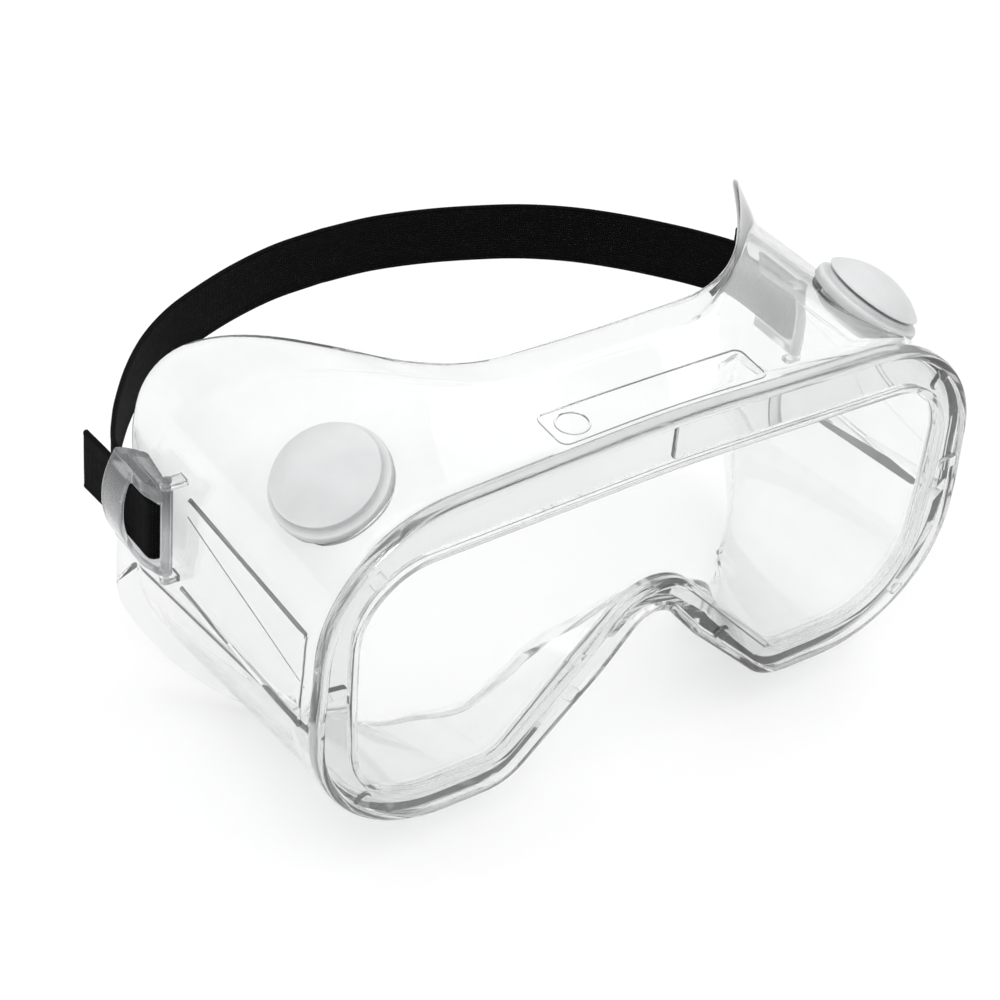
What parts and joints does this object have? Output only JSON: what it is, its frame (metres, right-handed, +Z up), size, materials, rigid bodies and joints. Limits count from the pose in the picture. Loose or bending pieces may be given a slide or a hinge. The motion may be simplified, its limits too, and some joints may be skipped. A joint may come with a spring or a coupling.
{
  "type": "safety goggles",
  "caption": "Clear soft-body safety goggles with a flat lens, capped indirect vents and an elastic head strap on swinging buckles.",
  "frame": {"origin": "under the middle of the goggles, on the surface that the face flange stands on, halfway between the rim's front face and the back of the strap", "axes": "+X across the face, -Y the way the lens faces, +Z up"},
  "size_m": [0.1764, 0.1342, 0.0921],
  "materials": {
    "clear_pvc": "clear soft vinyl, polished, slightly hazy on the skirt",
    "clear_lens": "clear polycarbonate, polished",
    "white_vent": "milky white, satin",
    "clear_buckle": "smoky clear plastic, glossy",
    "webbing": "black woven elastic, matte"
  },
  "bodies": {
    "goggles": {"body": "clear_pvc", "lens": "clear_lens", "vent_base_left": "white_vent", "vent_base_right": "white_vent", "vent_baffle_left": "white_vent", "vent_baffle_right": "white_vent", "buckle_pin_left": "clear_buckle", "buckle_pin_right": "clear_buckle", "strap_band": "webbing"},
    "buckle_left": {"buckle_left": "clear_buckle", "strap_end_left": "webbing"},
    "buckle_right": {"buckle_right": "clear_buckle", "strap_end_right": "webbing"},
    "vent_cap_left": {"vent_cap_left": "white_vent"},
    "vent_cap_right": {"vent_cap_right": "white_vent"}
  },
  "joints": [
    {"name": "buckle_swing_left", "type": "hinge", "parent": "goggles", "child": "buckle_left", "pos_m": [-0.0823, -0.01028, 0.0517], "axis": [0, 0, 1], "range_deg": [0, 80]},
    {"name": "buckle_swing_right", "type": "hinge", "parent": "goggles", "child": "buckle_right", "pos_m": [0.0823, -0.01028, 0.0517], "axis": [0, 0, -1], "range_deg": [0, 80]},
    {"name": "cap_turn_left", "type": "hinge", "parent": "goggles", "child": "vent_cap_left", "pos_m": [-0.0661, -0.04418, 0.0818], "axis": [-0.509, -0.116, 0.8529], "continuous": true},
    {"name": "cap_turn_right", "type": "hinge", "parent": "goggles", "child": "vent_cap_right", "pos_m": [0.0661, -0.04418, 0.0818], "axis": [0.509, -0.116, 0.8529], "continuous": true}
  ]
}
